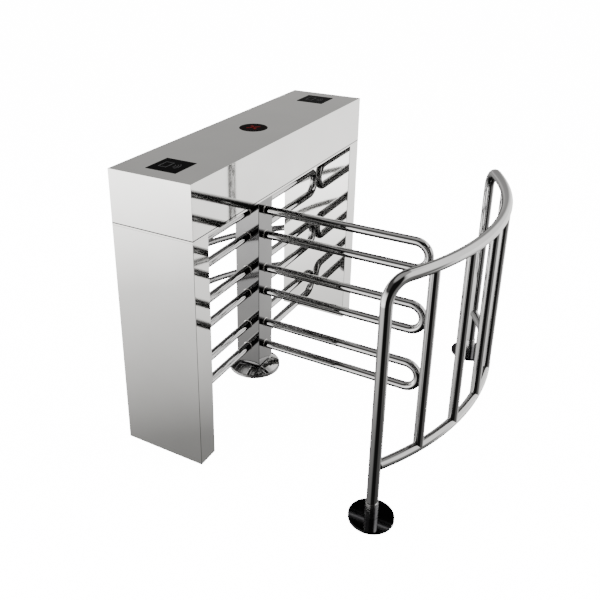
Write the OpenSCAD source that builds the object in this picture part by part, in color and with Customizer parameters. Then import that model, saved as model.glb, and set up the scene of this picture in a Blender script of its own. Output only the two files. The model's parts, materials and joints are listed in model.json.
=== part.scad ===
// Half-height visitor turnstile: a portal cabinet with a T-shaped rotor, curved rear rails
// and a free-standing curved guard that bounds the walkway.
// Frame: origin on the floor on the rotor's axis, +X towards the walkway, Y along the cabinet, Z up.

/* [Cabinet] */
// Length of the cabinet, along Y
cabinet_length = 1200; // [1200:10:1300]
// Width of the cabinet, along X
cabinet_width = 300; // [290:5:340]
// Height of the cabinet's top above the floor
cabinet_height = 980; // [970:5:1050]
// Size of each leg along the cabinet's length
leg_depth = 80; // [76:1:84]
// Height of the passage under the head
portal_height = 798; // [790:1:802]
// Height of the tray's rim, from its underside to the hood's seam
rim_height = 7; // [6:1:9]
// Thickness of the stainless sheet
sheet = 3; // [2.5:0.5:3]

/* [Rotor] */
// Side of the square rotor column
column_side = 100; // [90:5:100]
// Wall of the rotor column
column_wall = 4; // [3:0.5:5]
// Outer diameter of the arm tube
arm_tube = 32; // [28:1:34]
// Distance between the two runs of one hairpin arm
arm_spacing = 98; // [90:1:110]
// Distance from one hairpin arm to the next
arm_pitch = 234; // [220:1:240]
// Height of the lowest arm run
arm_low = 114; // [110:1:130]
// Reach of the walkway wing from the rotor axis
front_reach = 685; // [600:1:690]
// Reach of the wing towards the near leg
near_reach = 390; // [340:1:390]
// Reach of the wing towards the far leg
far_reach = 515; // [460:1:515]
// Swing of the rotor with a visitor, towards the near leg, in degrees
swing_out = 70; // [60:1:70]
// Swing of the rotor the other way, in degrees
swing_back = 20; // [18:1:20]

/* [Rear rails] */
// Radius of the rear rails' curve
rear_radius = 747.5; // [745:0.5:755]
// Place of the rear curve's centre along X
rear_x = 342; // [338:1:344]
// Outer diameter of the rear rail tube
rear_tube = 28; // [25:1:32]
// Height of the lowest rear rail
rear_low = 177; // [165:1:180]
// Distance from one rear rail to the next
rear_pitch = 183; // [150:1:185]

/* [Guard] */
// Radius of the guard's curve
guard_radius = 957; // [940:1:970]
// Place of the guard curve's centre along X
guard_x = -79; // [-100:1:-60]
// Place of the guard curve's centre along Y
guard_y = -10; // [-20:1:20]
// Height of the top rail's centre line
guard_top = 797; // [780:1:850]
// Height of the bottom rail's centre line
guard_bottom = 191; // [150:1:220]
// Half the angle between the two posts
guard_half_angle = 33.4; // [32:0.1:34]
// Outer diameter of the posts and the top rail
guard_tube = 36; // [34:1:40]
// Outer diameter of the bottom rail and the bars
bar_tube = 32; // [28:1:32]
// Bend radius where a post turns into the top rail
guard_bend = 70; // [50:1:90]
// Angle of the first bar, from the middle of the guard
first_bar = -23.2; // [-24:0.1:-20]
// Angle between two bars
bar_step = 10.65; // [10:0.05:11]

/* [Drive] */
// Travel of the lock bolt
lock_travel = 11; // [9:1:11]

/* [Hidden] */
$fn = 64;

half_w = cabinet_width / 2;
half_l = cabinet_length / 2;
seam = portal_height + rim_height;      // the hood's lower edge
gap = 0.3;                              // clearance between parts that move apart
tube_wall = 2;
arc_steps = 360;                        // steps round the long, level arcs
eps = 0.01;

steel = [0.78, 0.78, 0.77];
dark = [0.12, 0.12, 0.13];

// tray
upstand_inset = 7;
upstand_top = 830;
tray_floor = portal_height + sheet;
shaft_hole_r = 30;

// door in each leg's rear face
door_w = 64;
door_h = 120;
door_z = 25;
door_rim = 10;

// anchor holes of the legs
anchor_x = 220;
anchor_y = 40;
anchor_r = 7;
base_t = 8;

// levels of the mechanism above the tray
housing_r = 46;
housing_flange_r = 65;
housing_screw_r = 57;                   // place of the housing's four screws
plate_size = [250, 300];                // the mechanism plate, and where its corner lies
plate_corner = [-125, -160];
post_x = 115;                           // places of the plate's four posts
post_ys = [-150, 130];
damper_r = 25;
damper_neck_r = 8;
damper_neck_h = 12;
bearing_z = 820;
bearing_h = 25;
bearing_or = 34;
bearing_ir = 20;
ball_r = 4.6;
ball_groove_r = 5;
ball_track = 27;
plate_z = 845;
plate_t = 4;
damper_z = 813;
cup_z = plate_z + plate_t;
cup_h = 16;
gear_z = 868;
gear_t = 10;
wheel_z = 882;
wheel_t = 8;
wheel_r = 60;
notch_w = 12;
notch_depth = lock_travel + 1;          // the bolt starts 2 outside the wheel's rim
lever_z = 893;
lever_t = 6;
disc_z = 905;
shaft_top = 916;
neck_r = 15;                            // upper shaft, above the bearing
gear_module = 2;                        // damper gears, three turns of the pinion to one
gear_teeth = 60;
pinion_teeth = 20;
pinion_y = gear_module * (gear_teeth + pinion_teeth) / 2;
stop_r = 72;
hairpins = 3;                           // in each wing
buffer_r = 8;
lever_half = 8;

// lock: bolt, solenoid and bracket
bolt_start = wheel_r + 2;               // from the rotor's axis to the tip, drawn back
bolt_side = 10;
bolt_length = 24;
bolt_t = 6;
plunger_l = 26;
solenoid = [40, 52, 36];
solenoid_y = -150;
solenoid_z = wheel_z - 14;
bracket_t = 3;
cheek_t = 4;
cheek_l = 48;
cheek_top = wheel_z + 16;

// electronics on the tray
board = [160, 190, 1.6];
board_corner = [-80, -430];
board_lift = 10;
supply = [110, 199, 50];
supply_corner = [-55, 230];
vent = 7;
vent_step = 12;

// foot of the rotor
flange_r = 100;
flange_t = 12;
cover_rise = 20;                        // height of the dome over the flange
cover_inner = 24;
cover_outer = 96;
cover_wall = 1.5;
column_z0 = 36;
column_z1 = portal_height - 2;
pin_r = 15;
pin_clear = 0.05;
cap_t = 10;

// hood furniture
reader_side = 110;
reader_y = 487;
reader_x = 1;
reader_t = 4;
lens_r = 50;
panel_gap = 0.3;

// hinges
hinge_x = -half_w - 5;
hinge_w = 50;
knuckle_r = 4;
hinge_pin_r = 2;
hinge_y = half_l - leg_depth / 2;       // middle of each hinge

// lock in the far end of the hood
lock_z = 842;
lock_r = 9.5;
cam_len = 27;

module tube(r, wall, h) {
    linear_extrude(h) difference() {
        circle(r);
        circle(r - wall);
    }
}

module ring_profile(r, wall) {
    difference() {
        circle(r);
        circle(r - wall);
    }
}

// A tube bent on a level arc about the Z axis, from angle a0 to a1
module arc_tube(radius, r, a0, a1) {
    rotate([0, 0, a0])
        rotate_extrude(angle = a1 - a0, $fn = arc_steps)
            translate([radius, 0]) ring_profile(r, tube_wall);
}

module at_legs() {
    for (s = [-1, 1]) translate([0, s * (half_l - leg_depth / 2), 0]) children();
}

// ---------------------------------------------------------------- cabinet
module leg(side) {
    color(steel) translate([0, side * (half_l - leg_depth / 2), 0]) difference() {
        translate([-half_w, -leg_depth / 2, 0]) cube([cabinet_width, leg_depth, portal_height]);
        translate([-half_w + sheet, -leg_depth / 2 + sheet, -1])
            cube([cabinet_width - 2 * sheet, leg_depth - 2 * sheet, portal_height + 2]);
        translate([-half_w - 1, -door_w / 2 + door_rim, door_z + door_rim])
            cube([sheet + 2, door_w - 2 * door_rim, door_h - 2 * door_rim]);
    }
}

module base_plates() {
    clear = sheet + gap;
    color(dark) at_legs() difference() {
        translate([-half_w + clear, -leg_depth / 2 + clear, 0])
            cube([cabinet_width - 2 * clear, leg_depth - 2 * clear, base_t]);
        for (x = [-1, 1], y = [-1, 1])
            translate([x * anchor_x / 2, y * anchor_y / 2, -1]) cylinder(r = anchor_r, h = base_t + 2);
        translate([0, 0, -1]) cylinder(r = 20, h = base_t + 2);
    }
}

module leg_doors() {
    color(steel) at_legs() difference() {
        translate([-half_w - 2, -door_w / 2, door_z]) cube([2, door_w, door_h]);
        for (y = [-1, 1], z = [0, 1])
            translate([-half_w - 3, y * (door_w / 2 - 5), door_z + 5 + z * (door_h - 10)])
                rotate([0, 90, 0]) cylinder(r = 2.2, h = 4);
    }
}

module head_tray() {
    rim = upstand_inset + sheet;
    color(steel) difference() {
        union() {
            translate([-half_w, -half_l, portal_height]) cube([cabinet_width, cabinet_length, sheet]);
            difference() {
                translate([-half_w, -half_l, portal_height])
                    cube([cabinet_width, cabinet_length, rim_height]);
                translate([-half_w + rim, -half_l + rim, portal_height])
                    cube([cabinet_width - 2 * rim, cabinet_length - 2 * rim, rim_height + 1]);
            }
            difference() {
                translate([-half_w + upstand_inset, -half_l + upstand_inset, portal_height])
                    cube([cabinet_width - 2 * upstand_inset, cabinet_length - 2 * upstand_inset,
                          upstand_top - portal_height]);
                translate([-half_w + rim, -half_l + rim, portal_height - 1])
                    cube([cabinet_width - 2 * rim, cabinet_length - 2 * rim,
                          upstand_top - portal_height + 2]);
            }
        }
        translate([0, 0, portal_height - 1]) cylinder(r = shaft_hole_r, h = sheet + 2);
        at_legs() translate([60, 0, portal_height - 1]) cylinder(r = 20, h = sheet + 2);
        // notch that the lock's cam turns into, and the pocket under its lip
        translate([4, half_l - rim - 1, lock_z - cam_len - 4]) cube([28, sheet + 2, 40]);
        translate([-5, half_l - rim - 1, lock_z - cam_len - 4]) cube([10, sheet + 2, 8]);
        for (a = [45:90:315]) rotate([0, 0, a])
            translate([housing_screw_r, 0, portal_height - 1]) cylinder(r = 3.3, h = sheet + 2);
    }
}

module bearing_housing() {
    color([0.45, 0.46, 0.48]) difference() {
        union() {
            translate([0, 0, tray_floor]) cylinder(r = housing_flange_r, h = 8);
            translate([0, 0, tray_floor]) cylinder(r = housing_r, h = plate_z - tray_floor);
        }
        translate([0, 0, tray_floor - 1]) cylinder(r = 25, h = 60);
        translate([0, 0, bearing_z]) cylinder(r = bearing_or, h = 60);
        for (a = [45:90:315]) rotate([0, 0, a])
            translate([housing_screw_r, 0, tray_floor - 1]) cylinder(r = 3.3, h = 10);
    }
}

module bearing_outer_ring() {
    color(steel) translate([0, 0, bearing_z]) difference() {
        cylinder(r = bearing_or, h = bearing_h);
        translate([0, 0, -1]) cylinder(r = 30, h = bearing_h + 2);
        ball_groove();
    }
}

module bearing_inner_ring() {
    color(steel) translate([0, 0, bearing_z]) difference() {
        cylinder(r = 24, h = bearing_h);
        translate([0, 0, -1]) cylinder(r = bearing_ir, h = bearing_h + 2);
        ball_groove();
    }
}

module ball_groove() {
    translate([0, 0, bearing_h / 2])
        rotate_extrude() translate([ball_track, 0]) circle(ball_groove_r, $fn = 32);
}

module bearing_balls() {
    color(steel) for (i = [0:11]) rotate([0, 0, 30 * i])
        translate([ball_track, 0, bearing_z + bearing_h / 2]) sphere(ball_r, $fn = 32);
}

module mechanism_plate() {
    color([0.6, 0.61, 0.62]) difference() {
        translate([plate_corner.x, plate_corner.y, plate_z]) cube([plate_size.x, plate_size.y, plate_t]);
        translate([0, 0, plate_z - 1]) cylinder(r = 25, h = plate_t + 2);
        translate([0, pinion_y, plate_z - 1]) cylinder(r = 9, h = plate_t + 2);
        for (x = [-1, 1], y = post_ys) translate([x * post_x, y, plate_z - 1])
            cylinder(r = 2.7, h = plate_t + 2);
    }
}

module standoffs() {
    color(steel) for (x = [-1, 1], y = post_ys) translate([x * post_x, y, tray_floor])
        difference() {
            cylinder(r = 7, h = plate_z - tray_floor);
            translate([0, 0, 20]) cylinder(r = 2.2, h = 40);
        }
}

module spring_cup() {
    color([0.5, 0.5, 0.52]) translate([0, 0, cup_z]) difference() {
        cylinder(r = 52, h = cup_h);
        translate([0, 0, 2]) cylinder(r = 49, h = cup_h);
        translate([0, 0, -1]) cylinder(r = 22, h = 4);
    }
}

// Flat spiral spring: the strip's middle line grows from r0 to r1 over a number of turns
module centring_spring() {
    turns = 5;
    r0 = 19;
    r1 = 47.5;
    strip = 1.2;
    steps = turns * 24;
    function spiral(i, off) = let (a = i * 360 / 24, r = r0 + (r1 - r0) * i / steps + off)
        [r * cos(a), r * sin(a)];
    color([0.3, 0.3, 0.33]) translate([0, 0, cup_z + 2.5]) linear_extrude(12)
        polygon(concat([for (i = [0:steps]) spiral(i, strip / 2)],
                       [for (i = [steps:-1:0]) spiral(i, -strip / 2)]));
}

module damper_body() {
    color(dark) translate([0, pinion_y, 0]) {
        translate([0, 0, damper_z]) cylinder(r = damper_r, h = plate_z - damper_z);
        translate([0, 0, plate_z]) cylinder(r = damper_neck_r, h = damper_neck_h);
    }
}

// ---------------------------------------------------------------- gears
function inv_angle(rb, r) = let (a = acos(min(1, rb / r))) tan(a) * 180 / PI - a;
function polar(r, a) = [r * cos(a), r * sin(a)];

// Outline of an involute spur gear with a tooth centred on +X
module gear_outline(m, teeth, addendum, backlash) {
    pressure = 20;
    flank = 5;
    rp = m * teeth / 2;
    rb = rp * cos(pressure);
    ra = rp + addendum * m;
    rr = rp - 1.25 * m;
    rs = max(rr, rb);
    half = 90 / teeth - backlash / (2 * rp) * 180 / PI;
    function flank_r(k) = rs + (ra - rs) * k / flank;
    function flank_a(r) = half - (inv_angle(rb, r) - inv_angle(rb, rp));
    polygon([for (i = [0:teeth - 1]) let (c = i * 360 / teeth) each concat(
        [polar(rr, c - flank_a(rs))],
        [for (k = [0:flank]) polar(flank_r(k), c - flank_a(flank_r(k)))],
        [for (k = [flank:-1:0]) polar(flank_r(k), c + flank_a(flank_r(k)))],
        [polar(rr, c + flank_a(rs))])]);
}

module rotor_gear() {
    color([0.55, 0.55, 0.57]) difference() {
        translate([0, 0, gear_z]) rotate([0, 0, 180 / gear_teeth])
            linear_extrude(gear_t) gear_outline(gear_module, gear_teeth, 0.9, 0.25);
        translate([0, 0, gear_z - 1]) cylinder(r = neck_r, h = gear_t + 2);
        for (a = [0:60:300]) rotate([0, 0, a]) translate([38, 0, gear_z - 1])
            cylinder(r = 9, h = gear_t + 2);
    }
}

module damper_pinion() {
    color([0.75, 0.6, 0.3]) translate([0, pinion_y, 0]) {
        translate([0, 0, gear_z]) linear_extrude(gear_t)
            gear_outline(gear_module, pinion_teeth, 0.9, 0.25);
        neck_top = plate_z + damper_neck_h + gap;
        translate([0, 0, neck_top]) cylinder(r = 6, h = gear_z - neck_top);
    }
}

// ---------------------------------------------------------------- lock, stops and counter
module index_wheel() {
    color([0.62, 0.62, 0.64]) difference() {
        translate([0, 0, wheel_z]) cylinder(r = wheel_r, h = wheel_t);
        translate([0, 0, wheel_z - 1]) cylinder(r = neck_r, h = wheel_t + 2);
        for (a = [-swing_back, 0, swing_out]) rotate([0, 0, 270 + a])
            translate([wheel_r - notch_depth, -notch_w / 2, wheel_z - 1])
                cube([notch_depth + 8, notch_w, wheel_t + 2]);
        for (a = [30:60:150]) rotate([0, 0, a]) translate([36, 0, wheel_z - 1])
            cylinder(r = 8, h = wheel_t + 2);
    }
}

module lock_bolt() {
    color(steel) translate([0, -bolt_start, wheel_z + wheel_t / 2]) {
        translate([-bolt_side / 2, -bolt_length, -bolt_t / 2]) cube([bolt_side, bolt_length, bolt_t]);
        translate([0, eps - bolt_length, 0]) rotate([90, 0, 0])
            cylinder(r = bolt_side / 2, h = plunger_l);
    }
}

module lock_solenoid() {
    color([0.2, 0.2, 0.22]) difference() {
        translate([-solenoid.x / 2, solenoid_y, solenoid_z]) cube(solenoid);
        translate([0, solenoid_y + solenoid.y + 1, wheel_z + wheel_t / 2]) rotate([90, 0, 0])
            cylinder(r = bolt_side / 2 + 0.5, h = solenoid.y - 2);
    }
}

module lock_bracket() {
    half = solenoid.x / 2;
    cheek_z = cup_z + bracket_t;
    color([0.6, 0.61, 0.62]) {
        translate([-half - 2 * cheek_t, solenoid_y - 2, cup_z])
            cube([solenoid.x + 4 * cheek_t, solenoid.y + 2, bracket_t]);
        for (x = [-half - cheek_t, half]) translate([x, solenoid_y, cheek_z - eps])
            cube([cheek_t, cheek_l, cheek_top - cheek_z]);
        translate([-half, solenoid_y, cheek_z]) cube([solenoid.x, cheek_l, solenoid_z - cheek_z]);
    }
}

module stop_lever() {
    color([0.62, 0.62, 0.64]) difference() {
        union() {
            translate([0, 0, lever_z]) cylinder(r = 22, h = lever_t);
            translate([-lever_half, 0, lever_z]) cube([2 * lever_half, stop_r + 8, lever_t]);
        }
        translate([0, 0, lever_z - 1]) cylinder(r = neck_r, h = lever_t + 2);
    }
}

// Two rubber buffers on posts, which the lever meets at each end of the swing
module stop_buffers() {
    meet = asin((lever_half + buffer_r + gap) / stop_r);
    color(dark) for (a = [90 + swing_back + meet, 90 - swing_out - meet]) rotate([0, 0, a])
        translate([stop_r, 0, cup_z]) {
            cylinder(r = 5, h = lever_z - 2 - cup_z);
            translate([0, 0, lever_z - 2 - cup_z]) cylinder(r = buffer_r, h = lever_t + 4);
        }
}

module counter_disc() {
    color(steel) difference() {
        translate([0, 0, disc_z]) cylinder(r = 44, h = 1.5);
        translate([0, 0, disc_z - 1]) cylinder(r = neck_r, h = 4);
        for (a = [0:15:345]) rotate([0, 0, a]) translate([37, -1.5, disc_z - 1]) cube([5, 3, 4]);
    }
}

module counter_sensor() {
    color(dark) rotate([0, 0, 180]) {
        translate([90, -12, cup_z]) cube([4, 24, disc_z + 8 - cup_z]);
        difference() {
            translate([34, -9, disc_z - 8]) cube([56 + eps, 18, 18]);
            translate([33, -10, disc_z - 3]) cube([16, 20, 8]);
            translate([33, -10, disc_z - 9]) cube([2.5, 20, 20]);
        }
    }
}

module control_board() {
    top = board_lift + board.z - eps;
    color([0.1, 0.35, 0.2]) translate([board_corner.x, board_corner.y, tray_floor]) {
        for (x = [6, board.x - 6], y = [6, board.y - 6]) translate([x, y, 0])
            cylinder(r = 3.5, h = board_lift);
        translate([0, 0, board_lift]) cube(board);
        translate([55, 70, top]) cube([36, 36, 3]);                         // processor
        for (y = [[12, 140], [160, 90]]) translate([10, y[0], top])         // terminal strips
            cube([y[1], 14, 12]);
        for (x = [22, 44, 66]) translate([x, 135, top]) cylinder(r = 6, h = 16);    // capacitors
        for (y = [45, 75, 105]) translate([118, y, top]) cube([22, 18, 15]);        // relays
    }
}

module power_supply() {
    color([0.7, 0.7, 0.72]) translate([supply_corner.x, supply_corner.y, tray_floor]) difference() {
        cube(supply);
        for (x = [10:vent_step:94], y = [20:vent_step:170]) translate([x, y, supply.z - 2])
            cube([vent, vent, 4]);
    }
}

// Machine screws that hold the housing, the plate and the leg doors
module screws() {
    color([0.35, 0.35, 0.37]) {
        for (a = [45:90:315]) rotate([0, 0, a]) translate([housing_screw_r, 0, tray_floor - 2]) {
            cylinder(r = 3.2, h = 10);
            translate([0, 0, 10]) cylinder(r = 5.5, h = 6);
        }
        for (x = [-1, 1], y = post_ys) translate([x * post_x, y, plate_z - 12]) {
            cylinder(r = 2.1, h = 12 + plate_t);
            translate([0, 0, 12 + plate_t]) cylinder(r = 4.5, h = 4);
        }
        at_legs() for (y = [-1, 1], z = [0, 1])
            translate([-half_w - 4, y * (door_w / 2 - 5), door_z + 5 + z * (door_h - 10)])
                rotate([0, 90, 0]) {
                    cylinder(r = 4, h = 2);
                    translate([0, 0, 2]) cylinder(r = 2.1, h = 2);
                }
    }
}

// ---------------------------------------------------------------- hood hinges
module knuckles(y0, y1) {
    translate([hinge_x, y0, seam]) rotate([-90, 0, 0]) difference() {
        cylinder(r = knuckle_r, h = y1 - y0);
        translate([0, 0, -1]) cylinder(r = hinge_pin_r + pin_clear, h = y1 - y0 + 2);
    }
}

module hinge_lower() {
    color(steel) for (s = [-1, 1]) translate([0, s * hinge_y, 0]) {
        translate([-half_w - 2, -hinge_w / 2, seam - 36]) cube([2, hinge_w, 33]);
        for (e = [-1, 1]) difference() {
            union() {
                knuckles(min(e * 25, e * 9), max(e * 25, e * 9));
                translate([-half_w - 3, min(e * 25, e * 9), seam - 5]) cube([3, 16, 3]);
            }
            translate([hinge_x, -30, seam]) rotate([-90, 0, 0])
                cylinder(r = hinge_pin_r + pin_clear, h = 60);
        }
    }
}

module hinge_upper() {
    color(steel) for (s = [-1, 1]) translate([0, s * hinge_y, 0]) {
        translate([-half_w - 2, -hinge_w / 2, seam + 5]) cube([2, hinge_w, 31]);
        difference() {
            union() {
                knuckles(-9 + gap, 9 - gap);
                translate([-half_w - 3, -9 + gap, seam + 1]) cube([3, 18 - 2 * gap, 5]);
            }
            translate([hinge_x, -30, seam]) rotate([-90, 0, 0])
                cylinder(r = hinge_pin_r + pin_clear, h = 60);
        }
    }
}

module hinge_pins() {
    color([0.4, 0.4, 0.42]) for (s = [-1, 1])
        translate([hinge_x, s * hinge_y - hinge_w / 2 - 1, seam]) rotate([-90, 0, 0])
            cylinder(r = hinge_pin_r, h = hinge_w + 2);
}

// ---------------------------------------------------------------- hood
module hood() {
    z0 = seam + gap;
    color(steel) difference() {
        translate([-half_w, -half_l, z0]) cube([cabinet_width, cabinet_length, cabinet_height - z0]);
        translate([-half_w + sheet, -half_l + sheet, z0 - 1])
            cube([cabinet_width - 2 * sheet, cabinet_length - 2 * sheet,
                  cabinet_height - sheet - z0 + 1]);
        for (s = [-1, 1]) translate([reader_x - reader_side / 2 - panel_gap,
                                     s * reader_y - reader_side / 2 - panel_gap, cabinet_height - 10])
            cube([reader_side + 2 * panel_gap, reader_side + 2 * panel_gap, 20]);
        translate([0, 0, cabinet_height - 10]) cylinder(r = lens_r + panel_gap, h = 20);
        translate([0, half_l - 10, lock_z]) rotate([-90, 0, 0]) cylinder(r = lock_r, h = 20);
    }
}

module reader_panels() {
    color(dark) for (s = [-1, 1])
        translate([reader_x - reader_side / 2, s * reader_y - reader_side / 2,
                   cabinet_height + 0.6 - reader_t])
            cube([reader_side, reader_side, reader_t]);
}

module reader_cases() {
    side = reader_side + 16;
    under = cabinet_height - sheet;
    color([0.25, 0.25, 0.27]) for (s = [-1, 1]) translate([reader_x, s * reader_y, 0]) difference() {
        translate([-side / 2, -side / 2, under - 24]) cube([side, side, 24]);
        translate([-side / 2 + 10, -side / 2 + 10, under - 22])
            cube([side - 20, side - 20, 23]);
        translate([-reader_side / 2 - gap, -reader_side / 2 - gap, under - 0.4])
            cube([reader_side + 2 * gap, reader_side + 2 * gap, 2]);
    }
}

module reader_boards() {
    color([0.1, 0.35, 0.2]) for (s = [-1, 1]) translate([reader_x, s * reader_y, cabinet_height - 22]) {
        translate([-50, -50, 0]) cube([100, 100, 1.6]);
        translate([-20, -10, 1.6 - eps]) cube([30, 20, 4]);
        for (x = [-40, 40], y = [-40, 40]) translate([x, y, -3]) cylinder(r = 3, h = 3 + eps);
    }
}

module indicator_lens() {
    color([0.05, 0.05, 0.05]) translate([0, 0, cabinet_height - 3]) {
        cylinder(r = lens_r, h = 3);
        translate([0, 0, 3]) cylinder(r1 = lens_r, r2 = lens_r - 1, h = 1);
    }
}

module indicator_case() {
    under = cabinet_height - sheet;
    color([0.25, 0.25, 0.27]) difference() {
        translate([0, 0, under - 20]) cylinder(r = lens_r + 8, h = 20);
        translate([0, 0, under - 18]) cylinder(r = lens_r - 4, h = 19);
    }
}

module indicator_board() {
    color([0.1, 0.35, 0.2]) translate([0, 0, cabinet_height - 18]) {
        cylinder(r = 42, h = 1.6);
        for (a = [0:30:330]) rotate([0, 0, a]) translate([30, 0, 1.6 - eps]) cylinder(r = 2.5, h = 4);
        for (a = [0:60:300]) rotate([0, 0, a]) translate([15, 0, 1.6 - eps]) cylinder(r = 2.5, h = 4);
        for (a = [0:120:240]) rotate([0, 0, a]) translate([36, 0, -3]) cylinder(r = 3, h = 3 + eps);
    }
}

// Lock in the hood's far end: its cam hooks under the tray's lip when it is turned
module lock_barrel() {
    color(steel) translate([0, half_l, lock_z]) rotate([-90, 0, 0]) difference() {
        union() {
            translate([0, 0, -22]) cylinder(r = lock_r - 0.1, h = 22);
            cylinder(r = 12, h = 3);
        }
        translate([0, 0, -23]) cylinder(r = 6.1, h = 30);
    }
}

module lock_cam() {
    color([0.5, 0.5, 0.52]) translate([0, half_l, lock_z]) difference() {
        union() {
            translate([0, 3, 0]) rotate([90, 0, 0]) cylinder(r = 6, h = 28);
            translate([0, -22 - gap, 0]) rotate([90, 0, 0]) cylinder(r = 9, h = 3);
            translate([0, -25 - gap, -4]) cube([cam_len + 2, 3, 8]);
            translate([cam_len - 2, -25 - gap, -3]) cube([4, 18, 6]);
        }
        translate([-1, 1, -4]) cube([2, 4, 8]);
    }
}

// ---------------------------------------------------------------- rotor foot
module base_flange() {
    color(steel) difference() {
        union() {
            cylinder(r = flange_r, h = flange_t);
            cylinder(r = pin_r, h = 70);
        }
        for (a = [45:90:315]) rotate([0, 0, a]) translate([80, 0, -1])
            cylinder(r = 5.5, h = flange_t + 2);
    }
}

// Shallow dome over the flange: a parabola that falls to the flange's edge
module base_cover() {
    steps = 12;
    function dome(r) = cover_rise * (1 - pow((r - cover_inner) / (cover_outer - cover_inner), 2));
    function step_r(i) = cover_inner + (cover_outer - cover_inner) * i / steps;
    color(steel) translate([0, 0, flange_t]) rotate_extrude() difference() {
        polygon(concat([[cover_inner, 0]],
                       [for (i = [0:steps]) [step_r(i), dome(step_r(i))]]));
        polygon(concat([[cover_inner - 1, -1]],
                       [[cover_inner - 1, dome(cover_inner) - cover_wall]],
                       [for (i = [0:steps]) [step_r(i), dome(step_r(i)) - cover_wall]],
                       [[cover_outer, -2]]));
    }
}

module rotor_column() {
    inner = column_side - 2 * column_wall;
    color(steel) translate([0, 0, column_z0]) linear_extrude(column_z1 - column_z0) difference() {
        square(column_side, center = true);
        square(inner, center = true);
    }
}

module column_bottom_cap() {
    inner = column_side - 2 * column_wall;
    color([0.5, 0.5, 0.52]) difference() {
        union() {
            translate([-inner / 2, -inner / 2, column_z0 + 2]) cube([inner, inner, cap_t]);
            translate([0, 0, column_z0 + 2]) cylinder(r = 26, h = 30);
        }
        translate([0, 0, column_z0]) cylinder(r = 19, h = 40);
    }
}

module lower_bush() {
    color([0.75, 0.6, 0.3]) translate([0, 0, column_z0 + 2]) difference() {
        cylinder(r = 19, h = 30);
        translate([0, 0, -1]) cylinder(r = pin_r + pin_clear, h = 32);
    }
}

module column_top_cap() {
    inner = column_side - 2 * column_wall;
    color([0.5, 0.5, 0.52]) difference() {
        translate([-inner / 2, -inner / 2, column_z1 - 14]) cube([inner, inner, 12]);
        translate([0, 0, column_z1 - 15]) cylinder(r = bearing_ir, h = 20);
    }
}

module main_shaft() {
    color([0.65, 0.65, 0.67]) {
        translate([0, 0, column_z1 - 60]) cylinder(r = bearing_ir, h = plate_z - column_z1 + 60);
        translate([0, 0, plate_z - eps]) cylinder(r = neck_r, h = shaft_top - plate_z);
    }
}

// ---------------------------------------------------------------- wings
// One hairpin in the XZ plane: two level runs joined by a half circle at the tip
module hairpin(reach) {
    r = arm_tube / 2;
    bend = arm_spacing / 2;
    centre = reach - r - bend;
    root = column_side / 2;
    for (s = [-1, 1]) translate([root, 0, s * bend]) rotate([0, 90, 0])
        tube(r, tube_wall, centre - root);
    translate([centre, 0, 0]) rotate([90, 0, 0]) rotate([0, 0, -90])
        rotate_extrude(angle = 180) translate([bend, 0]) ring_profile(r, tube_wall);
}

module wing(reach, direction) {
    color(steel) rotate([0, 0, direction]) for (i = [0:hairpins - 1])
        translate([0, 0, arm_low + arm_spacing / 2 + i * arm_pitch]) hairpin(reach);
}

// ---------------------------------------------------------------- rear rails
module rear_rail(i) {
    z = rear_low + i * rear_pitch;
    half = acos((rear_x + half_w) / rear_radius) + 2;
    color(steel) intersection() {
        translate([rear_x, 0, z]) arc_tube(rear_radius, rear_tube / 2, 180 - half, 180 + half);
        translate([-rear_radius, -rear_radius, z - rear_tube])
            cube([rear_radius - half_w, 2 * rear_radius, 2 * rear_tube]);
    }
}

// ---------------------------------------------------------------- guard
// The bend stands in the upright plane that touches the rail's end
bend_angle = atan(guard_bend / guard_radius);
rail_end = guard_half_angle - bend_angle;
post_radius = norm([guard_radius, guard_bend]);
weld_angle = 1;                         // from a post's axis to the bottom rail's cut end

module at_guard() {
    translate([guard_x, guard_y, 0]) children();
}

module at_posts() {
    at_guard() for (s = [-1, 1]) rotate([0, 0, s * guard_half_angle])
        translate([post_radius, 0, 0]) children();
}

module guard_posts() {
    r = guard_tube / 2;
    bend_z = guard_top - guard_bend;
    color(steel) at_guard() for (s = [-1, 1]) rotate([0, 0, s * rail_end])
        translate([guard_radius, 0, 0]) rotate([0, 0, s * 90]) {
            translate([guard_bend, 0, base_t]) tube(r, tube_wall, bend_z - base_t);
            translate([0, 0, bend_z]) rotate([90, 0, 0]) rotate_extrude(angle = 90)
                translate([guard_bend, 0]) ring_profile(r, tube_wall);
        }
}

module guard_top_rail() {
    color(steel) at_guard() translate([0, 0, guard_top])
        arc_tube(guard_radius, guard_tube / 2, -rail_end, rail_end);
}

module guard_bottom_rail() {
    color(steel) at_guard() translate([0, 0, guard_bottom])
        arc_tube(guard_radius, bar_tube / 2, weld_angle - guard_half_angle,
                 guard_half_angle - weld_angle);
}

module guard_bars() {
    color(steel) at_guard() for (i = [0:4]) rotate([0, 0, first_bar + i * bar_step])
        translate([guard_radius, 0, guard_bottom])
            tube(bar_tube / 2 - 0.5, tube_wall, guard_top - guard_bottom);
}

module guard_ferrules() {
    color([0.9, 0.9, 0.9]) at_posts() translate([0, 0, base_t])
        tube(guard_tube / 2 + 2.2, 2, 56);
}

module guard_flanges() {
    color(steel) at_posts() difference() {
        cylinder(r = 60, h = base_t);
        for (a = [45:90:315]) rotate([0, 0, a]) translate([45, 0, -1])
            cylinder(r = 5.5, h = base_t + 2);
    }
}

module guard_covers() {
    color([0.15, 0.15, 0.16]) at_posts() difference() {
        cylinder(r = 70, h = 10);
        translate([0, 0, -1]) cylinder(r = 68.5, h = 9.5);
        cylinder(r = guard_tube / 2 + 2.7, h = 12);
    }
}

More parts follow.
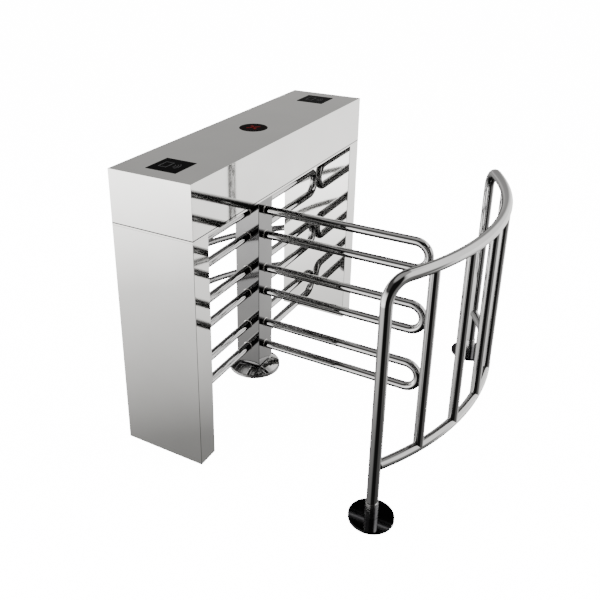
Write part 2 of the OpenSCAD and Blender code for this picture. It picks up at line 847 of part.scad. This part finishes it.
leg(-1);  // leg_near
leg(1);  // leg_far
base_plates();
leg_doors();
head_tray();
mechanism_plate();
standoffs();
bearing_housing();
bearing_outer_ring();
spring_cup();
centring_spring();
damper_body();
lock_bracket();
lock_solenoid();
stop_buffers();
counter_sensor();
control_board();
power_supply();
screws();
hinge_lower();
hinge_pins();
base_flange();
base_cover();
rear_rail(0);  // rear_rail_1
rear_rail(1);  // rear_rail_2
rear_rail(2);  // rear_rail_3
rear_rail(3);  // rear_rail_4
guard_posts();
guard_top_rail();
guard_bottom_rail();
guard_bars();
guard_ferrules();
guard_flanges();
guard_covers();
rotor_column();
column_top_cap();
column_bottom_cap();
lower_bush();
main_shaft();
bearing_inner_ring();
bearing_balls();
rotor_gear();
index_wheel();
stop_lever();
counter_disc();
wing(front_reach, 0);  // arm_front
wing(near_reach, 270);  // arm_near
wing(far_reach, 90);  // arm_far
damper_pinion();
lock_bolt();
hood();
reader_panels();
reader_cases();
reader_boards();
indicator_lens();
indicator_case();
indicator_board();
hinge_upper();
lock_barrel();
lock_cam();
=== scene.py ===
"""Looks of a half-height visitor turnstile with a portal cabinet, a three-wing rotor and a guard."""

import json
import logging
import math
from dataclasses import dataclass, field
from enum import Enum
from typing import Callable, Sequence, Union

import bpy
from mathutils import Matrix, Vector


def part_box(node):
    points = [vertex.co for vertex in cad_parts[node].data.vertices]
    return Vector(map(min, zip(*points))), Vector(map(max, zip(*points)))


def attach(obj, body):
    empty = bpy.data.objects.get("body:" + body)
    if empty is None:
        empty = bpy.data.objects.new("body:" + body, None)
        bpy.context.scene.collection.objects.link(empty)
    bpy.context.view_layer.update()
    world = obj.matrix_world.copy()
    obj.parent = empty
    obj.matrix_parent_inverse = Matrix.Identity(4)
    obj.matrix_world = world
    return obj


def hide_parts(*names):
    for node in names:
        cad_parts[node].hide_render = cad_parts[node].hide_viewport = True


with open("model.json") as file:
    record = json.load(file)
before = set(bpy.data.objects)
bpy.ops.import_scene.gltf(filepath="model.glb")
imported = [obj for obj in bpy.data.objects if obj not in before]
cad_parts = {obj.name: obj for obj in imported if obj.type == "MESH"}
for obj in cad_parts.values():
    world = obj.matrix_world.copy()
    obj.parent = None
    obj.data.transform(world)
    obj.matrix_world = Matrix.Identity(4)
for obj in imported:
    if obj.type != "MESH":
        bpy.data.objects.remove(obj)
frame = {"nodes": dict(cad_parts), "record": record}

LOG = logging.getLogger("turnstile")
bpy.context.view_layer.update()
HOOD_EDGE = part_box("hood")[0].z
Number = Union[int, float]
Colour = tuple[float, float, float]


# ------------------------------------------------------------------ shader maths
class Socket:
    """One output of a node, with the arithmetic that shader expressions use."""

    def __init__(self, tree: "Tree", link: bpy.types.NodeSocket) -> None:
        """Keeps the tree and the output socket."""
        self.tree = tree
        self.link = link

    def _math(self, operation: str, first: "Value", second: "Value") -> "Socket":
        """Adds a Math node with two values."""
        return self.tree.node("ShaderNodeMath", {"operation": operation}, {0: first, 1: second})

    def __add__(self, other: "Value") -> "Socket":
        """Sum."""
        return self._math("ADD", self, other)

    def __radd__(self, other: "Value") -> "Socket":
        """Reflected sum."""
        return self._math("ADD", other, self)

    def __rsub__(self, other: "Value") -> "Socket":
        """Reflected difference."""
        return self._math("SUBTRACT", other, self)

    def __mul__(self, other: "Value") -> "Socket":
        """Product."""
        return self._math("MULTIPLY", self, other)

    def __rmul__(self, other: "Value") -> "Socket":
        """Reflected product."""
        return self._math("MULTIPLY", other, self)

    def __truediv__(self, other: "Value") -> "Socket":
        """Quotient."""
        return self._math("DIVIDE", self, other)

    def __pow__(self, other: "Value") -> "Socket":
        """Power."""
        return self._math("POWER", self, other)


Value = Union[Socket, Number]


class Tree:
    """Builds the nodes of one material or world."""

    def __init__(self, owner: Union[bpy.types.Material, bpy.types.World]) -> None:
        """Starts with an empty node tree.

        Args:
            owner: the material or world that the nodes belong to.
        """
        owner.use_nodes = True
        self.nodes = owner.node_tree.nodes
        self.links = owner.node_tree.links
        self.nodes.clear()

    def node(self, kind: str, settings: dict | None = None, inputs: dict | None = None,
             output: Union[int, str] = 0) -> Socket:
        """Adds one node.

        Args:
            kind: the node's type name.
            settings: properties set before the sockets; "stops" fills a colour ramp.
            inputs: socket name or number to a value or a Socket.
            output: the name or number of the output that is returned.

        Returns:
            The chosen output as a Socket.
        """
        made = self.nodes.new(kind)
        for key, value in (settings or {}).items():
            if key == "stops":
                self._fill_ramp(made, value)
            else:
                setattr(made, key, value)
        for key, value in (inputs or {}).items():
            if isinstance(value, Socket):
                self.links.new(value.link, made.inputs[key])
            else:
                made.inputs[key].default_value = value
        return Socket(self, made.outputs[output])

    @staticmethod
    def _fill_ramp(made: bpy.types.Node, stops: Sequence[tuple[float, Colour]]) -> None:
        """Writes a colour ramp's stops, from the lowest to the highest."""
        elements = made.color_ramp.elements
        while len(elements) < len(stops):
            elements.new(0.5)
        for element, (place, colour) in zip(elements, stops):
            element.position = place
            element.color = (*colour, 1.0)

    def coordinates(self, scale: Sequence[float]) -> Socket:
        """Object coordinates stretched by a scale along X, Y and Z."""
        where = self.node("ShaderNodeTexCoord", output="Object")
        return self.node("ShaderNodeMapping", {}, {"Vector": where, "Scale": tuple(scale)})

    def noise(self, vector: Socket, scale: float, detail: float = 2.0) -> Socket:
        """A noise value from 0 to 1."""
        return self.node("ShaderNodeTexNoise", {}, {"Vector": vector, "Scale": scale, "Detail": detail},
                         "Fac")

    def step(self, value: Socket, low: float, high: float) -> Socket:
        """A soft step from 0 at low to 1 at high."""
        return self.node("ShaderNodeMapRange", {"interpolation_type": "SMOOTHSTEP"},
                         {"Value": value, "From Min": low, "From Max": high})

    def ramp(self, value: Socket, stops: Sequence[tuple[float, Colour]]) -> Socket:
        """A colour that follows a value."""
        return self.node("ShaderNodeValToRGB", {"stops": stops}, {"Fac": value}, "Color")


# ------------------------------------------------------------------ finishes
class Grain(Enum):
    """The way that the polishing lines of a sheet run."""

    ALONG = (520.0, 5.0, 520.0)
    UPRIGHT = (520.0, 520.0, 5.0)
    ROUND = (90.0, 90.0, 90.0)


@dataclass(frozen=True)
class Finish:
    """A finish whose colour and roughness vary a little, with a fine bump.

    Attributes:
        colour: the main colour.
        shade: the colour of worn or handled places.
        metallic: 1 for bare metal.
        roughness: the cleanest place's roughness.
        spread: how much roughness is added where the surface is handled.
        grain: the way of the polishing lines.
        relief: the strength of the fine bump.
        patch: how many handled patches there are in a metre.
        ior: how strongly a surface that isn't metal shines, 1.5 being ordinary.
        seam_shadow: the heights, in metres, between which the sheet's colour is darkened as a painted
            shadow of the open gap at the hood's lower edge.
    """

    colour: Colour
    shade: Colour
    metallic: float = 1.0
    roughness: float = 0.1
    spread: float = 0.08
    grain: Grain = Grain.ROUND
    relief: float = 0.02
    patch: float = 6.0
    ior: float = 1.5
    seam_shadow: tuple[float, float] | None = None

    def material(self, name: str) -> bpy.types.Material:
        """Builds the material.

        Args:
            name: the material's name.

        Returns:
            The finished material.
        """
        made = bpy.data.materials.new(name)
        tree = Tree(made)
        handled = tree.noise(tree.coordinates((1.0, 1.0, 1.0)), self.patch, 4.0)
        lines = tree.noise(tree.coordinates(self.grain.value), 1.0, 3.0)
        colour = tree.ramp(handled, [(0.3, self.colour), (0.75, self.shade)])
        # painted shadow: the hood's open gap is drawn as a dark band in the sheet's colour
        if self.seam_shadow is not None:
            colour = self._paint_seam_shadow(tree, colour)
        roughness = self.roughness + self.spread * handled * (0.6 + 0.8 * lines)
        bump = tree.node("ShaderNodeBump", {}, {"Height": lines, "Strength": self.relief,
                                                "Distance": 0.0004})
        shader = tree.node("ShaderNodeBsdfPrincipled", {}, {
            "Base Color": colour, "Roughness": roughness, "Metallic": self.metallic,
            "Normal": bump, "IOR": self.ior})
        finish_tree(tree, shader)
        return made


    def _paint_seam_shadow(self, tree: Tree, colour: Socket) -> Socket:
        """Darkens the colour between the band's two heights: a painted shadow of the open gap at the hood's
        lower edge.
        """
        where = tree.node("ShaderNodeTexCoord", output="Object")
        height = tree.node("ShaderNodeSeparateXYZ", {}, {0: where}, "Z")
        low, high = self.seam_shadow
        soft = 0.0003
        depth = 0.96
        # mask of the painted shadow band
        inside = tree.step(height, low - soft, low) * (1.0 - tree.step(height, high, high + soft))
        return tree.node("ShaderNodeVectorMath", {"operation": "SCALE"},
                         {0: colour, "Scale": 1.0 - depth * inside}, "Vector")


def finish_tree(tree: Tree, shader: Socket) -> None:
    """Joins a shader to the material's output."""
    out = tree.nodes.new("ShaderNodeOutputMaterial")
    tree.links.new(shader.link, out.inputs["Surface"])


@dataclass(frozen=True)
class Glow:
    """A printed symbol with a dim light of its own.

    Attributes:
        colour: the ink's colour.
        strength: how brightly it glows.
    """

    colour: Colour
    strength: float

    def material(self, name: str) -> bpy.types.Material:
        """Builds the material with an uneven glow, as a row of diodes gives."""
        made = bpy.data.materials.new(name)
        tree = Tree(made)
        spots = tree.noise(tree.coordinates((1.0, 1.0, 1.0)), 220.0, 1.0)
        dark = tuple(0.35 * part for part in self.colour)
        colour = tree.ramp(spots, [(0.35, dark), (0.65, self.colour)])
        shader = tree.node("ShaderNodeBsdfPrincipled", {}, {
            "Base Color": colour, "Roughness": 0.35, "IOR": 1.05,
            "Emission Color": colour, "Emission Strength": self.strength})
        finish_tree(tree, shader)
        return made


FINISHES: dict[str, Finish] = {
    # cabinet_steel carries a painted shadow band just around the hood's lower edge
    "cabinet_steel": Finish((0.70, 0.70, 0.69), (0.66, 0.66, 0.65), roughness=0.03, spread=0.03,
                            relief=0.006, grain=Grain.ALONG, seam_shadow=(HOOD_EDGE - 0.0015, HOOD_EDGE + 0.0019)),
    "leg_steel": Finish((0.70, 0.70, 0.69), (0.66, 0.66, 0.65), roughness=0.03, spread=0.03,
                        relief=0.006, grain=Grain.UPRIGHT),
    "polished_tube": Finish((0.50, 0.50, 0.50), (0.45, 0.45, 0.455), roughness=0.03, spread=0.03),
    "column_steel": Finish((0.20, 0.20, 0.20), (0.16, 0.16, 0.165), roughness=0.05, spread=0.04,
                           grain=Grain.UPRIGHT),
    "floor_steel": Finish((0.50, 0.50, 0.51), (0.38, 0.38, 0.38), roughness=0.3, spread=0.2),
    "cover_steel": Finish((0.11, 0.11, 0.115), (0.07, 0.07, 0.075), roughness=0.03, spread=0.03),
    "ferrule_steel": Finish((0.86, 0.86, 0.86), (0.76, 0.76, 0.76), roughness=0.18),
    "zinc_plate": Finish((0.58, 0.60, 0.62), (0.46, 0.48, 0.50), roughness=0.32, spread=0.15),
    "machined_steel": Finish((0.56, 0.56, 0.58), (0.44, 0.44, 0.46), roughness=0.24, relief=0.1),
    "housing_iron": Finish((0.20, 0.21, 0.22), (0.14, 0.15, 0.16), metallic=0.3, roughness=0.55,
                           relief=0.4),
    "brass": Finish((0.72, 0.55, 0.27), (0.55, 0.40, 0.18), roughness=0.22),
    "black_plastic": Finish((0.02, 0.02, 0.022), (0.03, 0.03, 0.032), metallic=0.0, roughness=0.45,
                            relief=0.3),
    "buffer_rubber": Finish((0.015, 0.015, 0.015), (0.03, 0.03, 0.03), metallic=0.0, roughness=0.7,
                            relief=0.3),
    "reader_black": Finish((0.0018, 0.0018, 0.002), (0.003, 0.003, 0.0033), metallic=0.0,
                           roughness=0.1, ior=1.03),
    "lens_black": Finish((0.002, 0.001, 0.001), (0.004, 0.0015, 0.0015), metallic=0.0,
                         roughness=0.1, ior=1.03),
    "board_green": Finish((0.02, 0.16, 0.08), (0.03, 0.22, 0.11), metallic=0.0, roughness=0.4,
                          patch=60.0),
    "supply_case": Finish((0.62, 0.62, 0.64), (0.50, 0.50, 0.52), roughness=0.3, spread=0.15),
    "dark_screws": Finish((0.10, 0.10, 0.11), (0.16, 0.16, 0.17), roughness=0.35, spread=0.15),
    "weld_bead": Finish((0.62, 0.61, 0.60), (0.48, 0.46, 0.44), roughness=0.22, relief=0.5),
    "icon_grey": Finish((0.06, 0.06, 0.063), (0.04, 0.04, 0.042), metallic=0.0, roughness=0.5, ior=1.1),
}


RED_SYMBOL = Glow((0.11, 0.004, 0.004), 0.35)

# nodes whose finish differs from their slot's own
SHARED_SLOTS = {"base_cover": "polished_tube"}


class Palette:
    """Makes each material once and hands it out by name."""

    def __init__(self) -> None:
        """Starts with nothing made."""
        self._made: dict[str, bpy.types.Material] = {}

    def get(self, name: str) -> bpy.types.Material:
        """The material of a finish, made when it is first asked for."""
        if name not in self._made:
            finish = RED_SYMBOL if name == "red_symbol" else FINISHES[name]
            self._made[name] = finish.material(name)
        return self._made[name]

    def dress(self, obj: bpy.types.Object, name: str) -> None:
        """Gives every material slot of an object one finish."""
        if not obj.material_slots:
            obj.data.materials.append(self.get(name))
        for held in obj.material_slots:
            held.material = self.get(name)


# ------------------------------------------------------------------ modelling steps
class Bench:
    """Modelling steps that every sub-assembly uses."""

    @staticmethod
    def clear() -> None:
        """Deselects everything."""
        for each in list(bpy.context.selected_objects):
            each.select_set(False)

    @staticmethod
    def hold(obj: bpy.types.Object) -> None:
        """Selects one object alone and makes it active."""
        Bench.clear()
        obj.select_set(True)
        bpy.context.view_layer.objects.active = obj

    @staticmethod
    def primitive(name: str, add: Callable, **sizes: object) -> bpy.types.Object:
        """Adds a primitive and names it.

        Args:
            name: the new object's name.
            add: the bpy.ops call that adds it.
            sizes: the arguments of that call.

        Returns:
            The new object.
        """
        Bench.clear()
        add(**sizes)
        made = bpy.context.active_object
        made.name = name
        made.data.name = name
        return made

    @staticmethod
    def edit(obj: bpy.types.Object, *steps: Callable[[], object]) -> None:
        """Runs edit-mode steps on all of an object's mesh."""
        Bench.hold(obj)
        bpy.ops.object.mode_set(mode="EDIT")
        bpy.ops.mesh.select_all(action="SELECT")
        for step in steps:
            step()
        bpy.ops.object.mode_set(mode="OBJECT")

    @staticmethod
    def settle(obj: bpy.types.Object, where: Matrix | None = None) -> bpy.types.Object:
        """Moves an object's place into its mesh, and makes the mesh sound.

        Args:
            obj: the object, whose own place is kept.
            where: an extra placing, applied after the object's own.

        Returns:
            The same object, at the origin.
        """
        Bench.hold(obj)
        bpy.ops.object.transform_apply(location=True, rotation=True, scale=True)
        if where is not None:
            obj.data.transform(where)
        Bench.edit(obj, lambda: bpy.ops.mesh.remove_doubles(threshold=0.00001),
                   lambda: bpy.ops.mesh.normals_make_consistent(inside=False))
        return obj

    @staticmethod
    def smooth(obj: bpy.types.Object, degrees: float = 35.0) -> None:
        """Smooths all faces that meet at less than an angle."""
        Bench.hold(obj)
        bpy.ops.object.shade_smooth_by_angle(angle=math.radians(degrees))

    @staticmethod
    def join(name: str, pieces: Sequence[bpy.types.Object]) -> bpy.types.Object:
        """Joins finished pieces into one object."""
        Bench.clear()
        for piece in pieces:
            piece.select_set(True)
        bpy.context.view_layer.objects.active = pieces[0]
        bpy.ops.object.join()
        made = bpy.context.active_object
        made.name = name
        made.data.name = name
        return made


# ------------------------------------------------------------------ sub-assemblies
@dataclass
class FoldedSheet:
    """A sheet part whose folded edges are rounded, as a press brake leaves them.

    Attributes:
        node: the CAD node that it stands for.
        body: the body that it rides on.
        finish: the name of its finish.
        slot: the record's material slot; not used.
        radius: the outer radius of its folds, in metres.
    """

    node: str
    body: str
    finish: str
    slot: str
    radius: float = 0.0015

    def build(self, palette: Palette) -> bpy.types.Object:
        """Copies the node's shape, rounds the edges and dresses it."""
        source = frame["nodes"][self.node]
        made = source.copy()
        made.data = source.data.copy()
        made.name = f"{self.node}_folded"
        made.parent = None
        for key in [key for key in made.keys() if key.startswith("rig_")]:
            del made[key]
        bpy.context.scene.collection.objects.link(made)
        Bench.edit(made, lambda: bpy.ops.mesh.remove_doubles(threshold=0.00001),
                   lambda: bpy.ops.mesh.dissolve_limited(angle_limit=math.radians(1.0)))
        Bench.smooth(made)
        fold = made.modifiers.new("fold", "BEVEL")
        fold.width = self.radius
        fold.segments = 3
        fold.limit_method = "ANGLE"
        fold.angle_limit = math.radians(40.0)
        fold.harden_normals = True
        Bench.hold(made)
        bpy.ops.object.modifier_apply(modifier="fold")
        palette.dress(made, self.finish)
        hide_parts(self.node)
        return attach(made, self.body)


@dataclass
class WingWelds:
    """The weld beads where the wings' tubes meet the column.

    Attributes:
        node: the wing's CAD node.
        turn: the wing's direction about the column, in degrees.
        tube: the tube's outer radius, in metres.
        bead: the bead's own radius, in metres.
        low: the height of the lowest run.
        spacing: the height from one run of a hairpin to the other.
        pitch: the height from one hairpin to the next.
    """

    node: str
    turn: float
    tube: float = 0.016
    bead: float = 0.0022
    low: float = 0.114
    spacing: float = 0.098
    pitch: float = 0.234

    def bead_at(self, height: float, face: float) -> bpy.types.Object:
        """One half-round bead on the column's face."""
        made = Bench.primitive("bead", bpy.ops.mesh.primitive_torus_add, major_radius=self.tube,
                               minor_radius=self.bead, major_segments=48, minor_segments=12)
        Bench.edit(made, lambda: bpy.ops.mesh.bisect(
            plane_co=(0, 0, 0), plane_no=(0, 0, 1), clear_inner=True, use_fill=True))
        upright = Matrix.Rotation(math.radians(90.0), 4, "Y")
        place = (Matrix.Rotation(math.radians(self.turn), 4, "Z")
                 @ Matrix.Translation((face, 0.0, height)) @ upright)
        return Bench.settle(made, place)

    def build(self, palette: Palette) -> bpy.types.Object:
        """Builds all of the wing's beads as one piece."""
        low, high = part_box("rotor_column")
        face = (high.x - low.x) / 2
        heights = [self.low + hairpin * self.pitch + run * self.spacing
                   for hairpin in range(3) for run in range(2)]
        made = Bench.join(f"{self.node}_welds", [self.bead_at(height, face) for height in heights])
        Bench.smooth(made, 60.0)
        palette.dress(made, "weld_bead")
        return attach(made, "rotor")


@dataclass
class ReaderIcon:
    """A generic card-and-waves symbol on a reader.

    Attributes:
        side: -1 for the near reader and 1 for the far one.
        card: the card's width and depth, in metres.
        waves: the radii of the waves, in metres.
        height: how far the print stands up.
        rim: the width of the card's outline.
        line: half the width of a wave's line.
        card_shift: how far the card lies behind the reader's middle.
        wave_shift: how far the waves start in front of it.
    """

    side: int
    card: tuple[float, float] = (0.030, 0.046)
    waves: tuple[float, ...] = (0.012, 0.020, 0.028)
    height: float = 0.0004
    rim: float = 0.0026
    line: float = 0.0011
    card_shift: float = 0.018
    wave_shift: float = 0.002

    def outline(self, centre: Vector) -> bpy.types.Object:
        """The card: a plate with its middle taken out."""
        made = Bench.primitive("card", bpy.ops.mesh.primitive_plane_add, size=1.0)
        made.scale = (self.card[0], self.card[1], 1.0)
        Bench.hold(made)
        bpy.ops.object.transform_apply(location=False, rotation=False, scale=True)
        Bench.edit(made, lambda: bpy.ops.mesh.inset(thickness=self.rim),
                   lambda: bpy.ops.mesh.delete(type="FACE"))
        Bench.edit(made, lambda: bpy.ops.mesh.extrude_region_move(
            TRANSFORM_OT_translate={"value": (0, 0, self.height)}))
        return Bench.settle(made, Matrix.Translation(centre + Vector((-self.card_shift, 0, 0))))

    def wave(self, radius: float, centre: Vector) -> bpy.types.Object:
        """One wave: a quarter of a flattened ring that opens away from the card."""
        made = Bench.primitive("wave", bpy.ops.mesh.primitive_torus_add, major_radius=radius,
                               minor_radius=self.line, major_segments=48, minor_segments=8)
        for normal in ((1, 1, 0), (1, -1, 0)):
            Bench.edit(made, lambda cut=normal: bpy.ops.mesh.bisect(
                plane_co=(0, 0, 0), plane_no=cut, clear_inner=True, use_fill=True))
        squeeze = Matrix.Diagonal((1.0, 1.0, self.height / self.line, 1.0))
        return Bench.settle(made, Matrix.Translation(centre + Vector((self.wave_shift, 0, 0))) @ squeeze)

    def build(self, palette: Palette) -> bpy.types.Object:
        """Builds the symbol on its reader."""
        low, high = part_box("reader_panels")
        reach = (high.y - low.y - (high.x - low.x)) / 2
        centre = Vector(((low.x + high.x) / 2, self.side * reach, high.z))
        parts = [self.outline(centre), *[self.wave(radius, centre) for radius in self.waves]]
        made = Bench.join("reader_icon_near" if self.side < 0 else "reader_icon_far", parts)
        palette.dress(made, "icon_grey")
        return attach(made, "lid")


@dataclass
class IndicatorCross:
    """The dim red cross that shows the passage closed.

    Attributes:
        length: the length of a stroke, in metres.
        width: the width of a stroke.
        height: how far it stands up.
    """

    length: float = 0.050
    width: float = 0.009
    height: float = 0.0004

    def stroke(self, turn: float, top: float) -> bpy.types.Object:
        """One stroke, with its ends bevelled."""
        made = Bench.primitive("stroke", bpy.ops.mesh.primitive_plane_add, size=1.0)
        made.scale = (self.length, self.width, 1.0)
        Bench.hold(made)
        bpy.ops.object.transform_apply(location=False, rotation=False, scale=True)
        Bench.edit(made, lambda: bpy.ops.mesh.bevel(offset=0.002, segments=3, affect="VERTICES"),
                   lambda: bpy.ops.mesh.select_all(action="SELECT"),
                   lambda: bpy.ops.mesh.extrude_region_move(
                       TRANSFORM_OT_translate={"value": (0, 0, self.height)}))
        place = Matrix.Translation((0, 0, top)) @ Matrix.Rotation(math.radians(turn), 4, "Z")
        return Bench.settle(made, place)

    def build(self, palette: Palette) -> bpy.types.Object:
        """Builds the cross on the lens."""
        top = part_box("indicator_lens")[1].z
        made = Bench.join("indicator_cross", [self.stroke(45.0, top), self.stroke(-45.0, top)])
        palette.dress(made, "red_symbol")
        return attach(made, "lid")


@dataclass(frozen=True)
class PaleWall:
    """A pale wall of the studio, which fades to the sides and follows a height profile.

    Attributes:
        bearing: the way to it from the turnstile, in degrees about +Z from +X.
        spread: the half angle at which it has faded out, and the one up to which it is full.
        profile: how light it is at each height, from 0 straight down to 1 straight up.
    """

    bearing: float
    spread: tuple[float, float]
    profile: tuple[tuple[float, float], ...]

    def light(self, tree: "Tree", way: Socket, rise: Socket, level: Socket) -> Socket:
        """How light the wall is in each direction.

        Args:
            tree: the world's nodes.
            way: the direction.
            rise: its upward part.
            level: its upward part as a value from 0 to 1.

        Returns:
            The wall's light as a value.
        """
        turn = math.radians(self.bearing)
        facing = tree.node("ShaderNodeVectorMath", {"operation": "DOT_PRODUCT"},
                           {0: way, 1: (math.cos(turn), math.sin(turn), 0.0)}, "Value")
        flat_length = (1.0001 - rise * rise) ** 0.5
        faded, full = (math.cos(math.radians(angle)) for angle in self.spread)
        mask = tree.step(facing / flat_length, faded, full)
        stops = [(place, (value, value, value)) for place, value in self.profile]
        return mask * tree.ramp(level, stops)


WALLS: tuple[PaleWall, ...] = (
    PaleWall(217.0, (58.0, 23.0), ((0.10, 0.0), (0.19, 0.075), (0.27, 0.36), (0.34, 1.0), (0.60, 0.5),
                                   (0.70, 0.02))),
    PaleWall(64.0, (42.0, 26.0), ((0.10, 0.0), (0.19, 0.07), (0.26, 0.34), (0.34, 0.52), (0.46, 0.45),
                                  (0.58, 0.0))),
    PaleWall(42.0, (58.0, 34.0), ((0.42, 0.0), (0.56, 0.42), (0.86, 0.42), (0.93, 0.06), (0.97, 0.0))),
    PaleWall(4.0, (38.0, 14.0), ((0.10, 0.0), (0.20, 0.03), (0.30, 0.07), (0.42, 0.05), (0.52, 0.0))),
    PaleWall(160.0, (52.0, 16.0), ((0.14, 0.0), (0.24, 0.06), (0.36, 0.12), (0.50, 0.10), (0.62, 0.0))),
    PaleWall(120.0, (46.0, 22.0), ((0.46, 0.0), (0.52, 0.12), (0.72, 0.09), (0.78, 0.0))),
)


@dataclass
class Studio:
    """The floor, the lights, the surroundings that the polish mirrors, and the camera.

    Attributes:
        eye: the camera's place, in metres.
        gaze: the way that it looks.
        lens: its focal length, in millimetres on a 36 mm film.
        shift: its sideways and upward shift.
        studio_light: the strength of the palest wall.
    """

    eye: Vector = field(default_factory=lambda: Vector((1.3047, -2.2071, 1.6892)))
    gaze: Vector = field(default_factory=lambda: Vector((-0.4569, 0.7981, -0.3929)))
    lens: float = 45.0
    shift: tuple[float, float] = (0.0607, -0.1191)
    studio_light: float = 4.8

    def floor(self) -> None:
        """A plain pale floor, which the polish doesn't mirror."""
        made = Bench.primitive("floor", bpy.ops.mesh.primitive_plane_add, size=60.0,
                               location=(0, 0, -0.0006))
        paint = bpy.data.materials.new("floor_paint")
        tree = Tree(paint)
        shader = tree.node("ShaderNodeBsdfPrincipled", {}, {
            "Base Color": (0.95, 0.95, 0.95, 1.0), "Roughness": 0.9,
            "Emission Color": (1.0, 1.0, 1.0, 1.0), "Emission Strength": 15.0})
        finish_tree(tree, shader)
        made.data.materials.append(paint)
        made.visible_glossy = False

    def surroundings(self) -> None:
        """A dark studio with pale walls on most sides, which the polished steel mirrors."""
        world = bpy.data.worlds.new("studio")
        bpy.context.scene.world = world
        tree = Tree(world)
        way = tree.node("ShaderNodeTexCoord", output="Generated")
        rise = tree.node("ShaderNodeSeparateXYZ", {}, {0: way}, "Z")
        level = (rise + 1.0) * 0.5
        glow = 0.003 + tree.step(level, 0.90, 0.97) * 0.12
        for wall in WALLS:
            glow = glow + wall.light(tree, way, rise, level)
        light = tree.node("ShaderNodeBackground", {}, {"Color": (1.0, 0.985, 0.965, 1.0),
                                                       "Strength": glow * self.studio_light})
        out = tree.nodes.new("ShaderNodeOutputWorld")
        tree.links.new(light.link, out.inputs["Surface"])

    @staticmethod
    def lamp(name: str, place: Vector, size: float, energy: float) -> None:
        """A square soft light that points at the middle of the turnstile."""
        data = bpy.data.lights.new(name, "AREA")
        data.size = size
        data.energy = energy
        made = bpy.data.objects.new(name, data)
        made.location = place
        made.visible_glossy = False
        aim = Vector((0.2, 0.0, 0.5)) - place
        made.rotation_euler = aim.to_track_quat("-Z", "Y").to_euler()
        bpy.context.scene.collection.objects.link(made)

    def camera(self) -> None:
        """The camera."""
        data = bpy.data.cameras.new("camera")
        data.lens = self.lens
        data.sensor_width = 36.0
        data.shift_x, data.shift_y = self.shift
        made = bpy.data.objects.new("camera", data)
        made.location = self.eye
        made.rotation_euler = self.gaze.to_track_quat("-Z", "Y").to_euler()
        bpy.context.scene.collection.objects.link(made)
        bpy.context.scene.camera = made

    def build(self) -> None:
        """Sets the whole studio up."""
        self.floor()
        self.surroundings()
        self.lamp("key", Vector((-1.8, -2.6, 3.4)), 2.4, 140.0)
        self.lamp("fill", Vector((3.2, 1.4, 2.8)), 2.0, 70.0)
        self.camera()


# ------------------------------------------------------------------ everything
def dress_frame(palette: Palette) -> None:
    """Gives each CAD node the finish of its material slot."""
    for entry in frame["record"]["subparts"]:
        name = SHARED_SLOTS.get(entry["node"], entry["material_slot"])
        palette.dress(frame["nodes"][entry["node"]], name)


def main() -> None:
    """Builds the looks, sub-assembly by sub-assembly."""
    logging.basicConfig(level=logging.INFO, format="%(name)s: %(message)s")
    palette = Palette()
    dress_frame(palette)
    Studio().build()
    parts = [
        FoldedSheet("hood", "lid", "cabinet_steel", "cabinet_steel"),
        FoldedSheet("leg_near", "cabinet", "leg_steel", "cabinet_steel"),
        FoldedSheet("leg_far", "cabinet", "leg_steel", "cabinet_steel"),
        FoldedSheet("rotor_column", "rotor", "column_steel", "column_steel", 0.003),
        WingWelds("arm_front", 0.0),
        WingWelds("arm_near", -90.0),
        WingWelds("arm_far", 90.0),
        ReaderIcon(-1),
        ReaderIcon(1),
        IndicatorCross(),
    ]
    for part in parts:
        made = part.build(palette)
        LOG.info("%s: %d faces", made.name, len(made.data.polygons))


if __name__ == "__main__":
    main()
